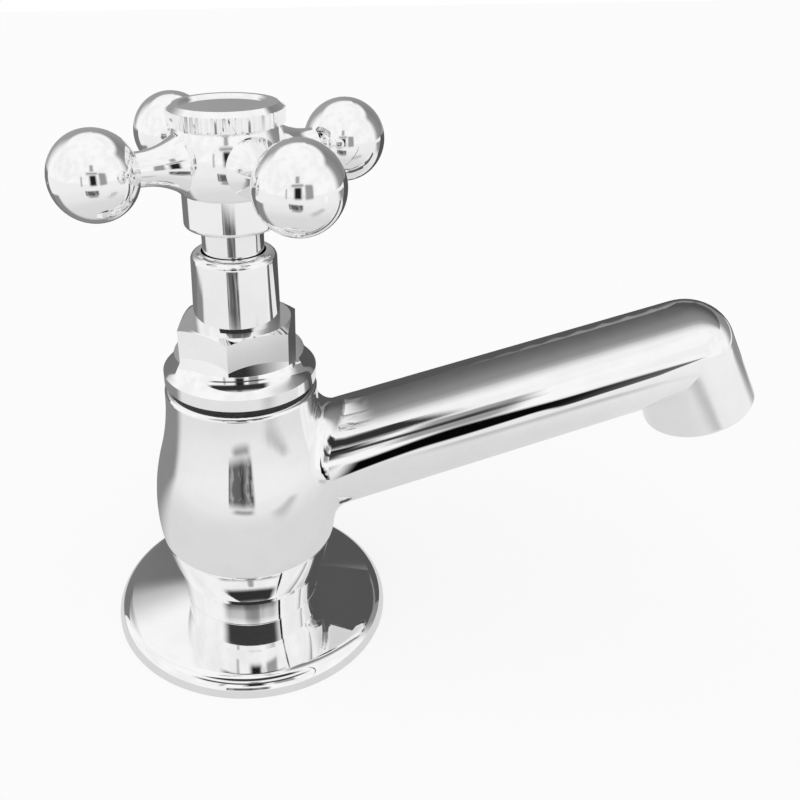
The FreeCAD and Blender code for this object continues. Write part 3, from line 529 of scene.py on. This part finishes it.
def polished(name, colour, rough, ripple, smudge):
    """Plated metal: the casting's slow ripples under the plate, polishing marks and smudges."""
    metal = Surface(name)
    cloud = metal.noise(scale=140.0, detail=4.0)
    dull = [value * (1.0 - smudge) for value in colour]
    tint = metal.ramp(cloud, [(0.35, solid(*dull)), (0.65, solid(*colour))])
    cast = metal.bump(metal.noise(scale=75.0, detail=1.0, roughness=0.4), ripple, depth=0.1)
    marks = metal.noise(scale=2600.0, detail=3.0, roughness=0.7)
    grain = metal.bump(marks, strength=0.06, depth=0.01, under=cast)
    return metal.finish(Base_Color=tint, Metallic=1.0, Normal=grain,
                        Roughness=metal.spread(cloud, rough * 0.5, rough * 1.6))


def turned(name, colour, dull, rough):
    """Metal turned on a lathe: fine rings along Z, with darker tarnish in places."""
    metal = Surface(name)
    cloud = metal.noise(scale=220.0, detail=5.0, roughness=0.65)
    tint = metal.ramp(cloud, [(0.3, solid(*dull)), (0.62, solid(*colour))])
    rings = metal.noise(scale=300.0, detail=2.0, roughness=0.5, stretch=(0.05, 0.05, 14.0))
    cut = metal.bump(rings, strength=0.5, depth=0.02)
    specks = metal.noise(scale=1800.0, detail=4.0, roughness=0.7)
    pits = metal.bump(specks, strength=0.15, depth=0.02, under=cut)
    return metal.finish(Base_Color=tint, Metallic=1.0, Normal=pits,
                        Roughness=metal.spread(cloud, rough * 1.5, rough * 0.8))


def rubber(name):
    """Black moulded rubber: dusty, with a fine matt grain."""
    skin = Surface(name)
    cloud = skin.noise(scale=260.0, detail=5.0, roughness=0.7)
    tint = skin.ramp(cloud, [(0.3, solid(0.010, 0.010, 0.011)), (0.7, solid(0.030, 0.029, 0.028))])
    waves = skin.noise(scale=420.0, detail=2.0, roughness=0.5)
    mould = skin.bump(waves, strength=0.3, depth=0.03)
    dust = skin.noise(scale=4200.0, detail=3.0, roughness=0.7)
    grain = skin.bump(dust, strength=0.35, depth=0.02, under=mould)
    return skin.finish(Base_Color=tint, Roughness=skin.spread(cloud, 0.5, 0.72), Normal=grain)


def fibre(name):
    """Pressed red fibre: short threads through a dull sheet."""
    sheet = Surface(name)
    threads = sheet.noise(scale=700.0, detail=5.0, roughness=0.75, stretch=(1.0, 3.0, 6.0))
    tint = sheet.ramp(threads, [(0.3, solid(0.17, 0.022, 0.014)),
                                (0.55, solid(0.27, 0.045, 0.028)),
                                (0.75, solid(0.36, 0.09, 0.05))])
    return sheet.finish(Base_Color=tint, Roughness=sheet.spread(threads, 0.75, 0.9),
                        Normal=sheet.bump(threads, strength=0.5, depth=0.03))


def moulded(name):
    """White moulded plastic: a faint flow pattern and a satin skin."""
    skin = Surface(name)
    flow = skin.noise(scale=180.0, detail=3.0, roughness=0.5, stretch=(1.0, 1.0, 3.0))
    tint = skin.ramp(flow, [(0.3, solid(0.66, 0.66, 0.64)), (0.7, solid(0.76, 0.76, 0.745))])
    satin = skin.noise(scale=2400.0, detail=3.0, roughness=0.6)
    return skin.finish(Base_Color=tint, Roughness=skin.spread(flow, 0.3, 0.45),
                       Normal=skin.bump(satin, strength=0.2, depth=0.01))


def paint(piece, material):
    """Gives a piece one material all over."""
    piece.data.materials.clear()
    piece.data.materials.append(material)


# ---------------------------------------------------------------- tail with its thread

TAIL_BORE = 8.5 * MM
SPIGOT_RADIUS = 11.0 * MM
# A pipe thread of 14 turns to the inch. It fades in above the foot and out under the shoulder,
# and its first row of points stands a little above the foot.
THREAD_PITCH = 25.4 / 14 * MM
THREAD_DEPTH = 0.64 * THREAD_PITCH
THREAD_SHARPNESS = 1.3
THREAD_FADE_IN = 1.2 * MM
THREAD_FADE_OUT = 2 * THREAD_PITCH
THREAD_FIRST_ROW = THREAD_FADE_IN * 0.6
STEPS_ROUND = 96
STEPS_PITCH = 8
SHARP_EDGE = math.radians(50)


def thread_cut(height, turn, low, high):
    """How deep the thread is at a height and turn: rounded ridges that fade out at both ends."""
    phase = (height / THREAD_PITCH - turn) % 1.0
    groove = 0.5 - 0.5 * math.cos(2 * math.pi * phase)
    fade = min(1.0, (high - height) / THREAD_FADE_OUT, (height - low) / THREAD_FADE_IN)
    return THREAD_DEPTH * groove ** THREAD_SHARPNESS * max(0.0, fade)


def tail_rows(foot, shoulder, top, radius):
    """The tail's profile from its foot up the outside and down the bore: radius, height, and
    whether the thread cuts it."""
    steps = round((shoulder - foot - THREAD_FADE_IN) / THREAD_PITCH * STEPS_PITCH)
    rise = shoulder - foot - THREAD_FIRST_ROW
    threaded = [(radius, foot + THREAD_FIRST_ROW + rise * i / steps, True)
                for i in range(steps + 1)]
    return [(radius - THREAD_DEPTH, foot, False), *threaded,
            (SPIGOT_RADIUS, shoulder, False), (SPIGOT_RADIUS, top, False),
            (TAIL_BORE, top, False), (TAIL_BORE, foot, False)]


def make_tail():
    """The inlet tail with its pipe thread cut into it, in the place of its plain solid."""
    low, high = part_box("tail_shank")
    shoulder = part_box("tail_joint_ring")[0][2]
    foot, top = low[2], high[2]
    rows = tail_rows(foot, shoulder, top, high[0])
    vertices = []
    for reach, height, threaded in rows:
        for j in range(STEPS_ROUND):
            cut = thread_cut(height, j / STEPS_ROUND, foot, shoulder) if threaded else 0.0
            angle = 2 * math.pi * j / STEPS_ROUND
            vertices.append(((reach - cut) * math.cos(angle), (reach - cut) * math.sin(angle),
                             height))
    faces = []
    for i in range(len(rows)):
        this, following = i * STEPS_ROUND, (i + 1) % len(rows) * STEPS_ROUND
        for j in range(STEPS_ROUND):
            after = (j + 1) % STEPS_ROUND
            faces.append((this + j, this + after, following + after, following + j))
    mesh = bpy.data.meshes.new("tail_thread")
    mesh.from_pydata(vertices, [], faces)
    mesh.validate()
    mesh.shade_smooth()
    mesh.set_sharp_from_angle(angle=SHARP_EDGE)
    tail = bpy.data.objects.new("tail_thread", mesh)
    bpy.context.scene.collection.objects.link(tail)
    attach(tail, "tap")
    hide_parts("tail_shank")
    return tail


# ---------------------------------------------------------------- scene

bpy.context.scene.view_settings.view_transform = "Standard"
add_camera()
add_world()
add_floor()
add_boards()

FINISHES = {
    "chrome": polished("chrome", (0.955, 0.955, 0.96), rough=0.03, ripple=0.35, smudge=0.03),
    "bright_metal": polished("bright_metal", (0.92, 0.92, 0.925), rough=0.06, ripple=0.2,
                             smudge=0.05),
    "brass": turned("brass", (0.80, 0.62, 0.32), dull=(0.55, 0.39, 0.18), rough=0.28),
    "steel": turned("steel", (0.62, 0.62, 0.64), dull=(0.50, 0.50, 0.51), rough=0.3),
    "rubber": rubber("rubber"),
    "fibre": fibre("fibre"),
    "white_plastic": moulded("white_plastic"),
}
for part in frame["record"]["subparts"]:
    paint(frame["nodes"][part["node"]], FINISHES[part["material_slot"]])
paint(make_tail(), FINISHES["brass"])
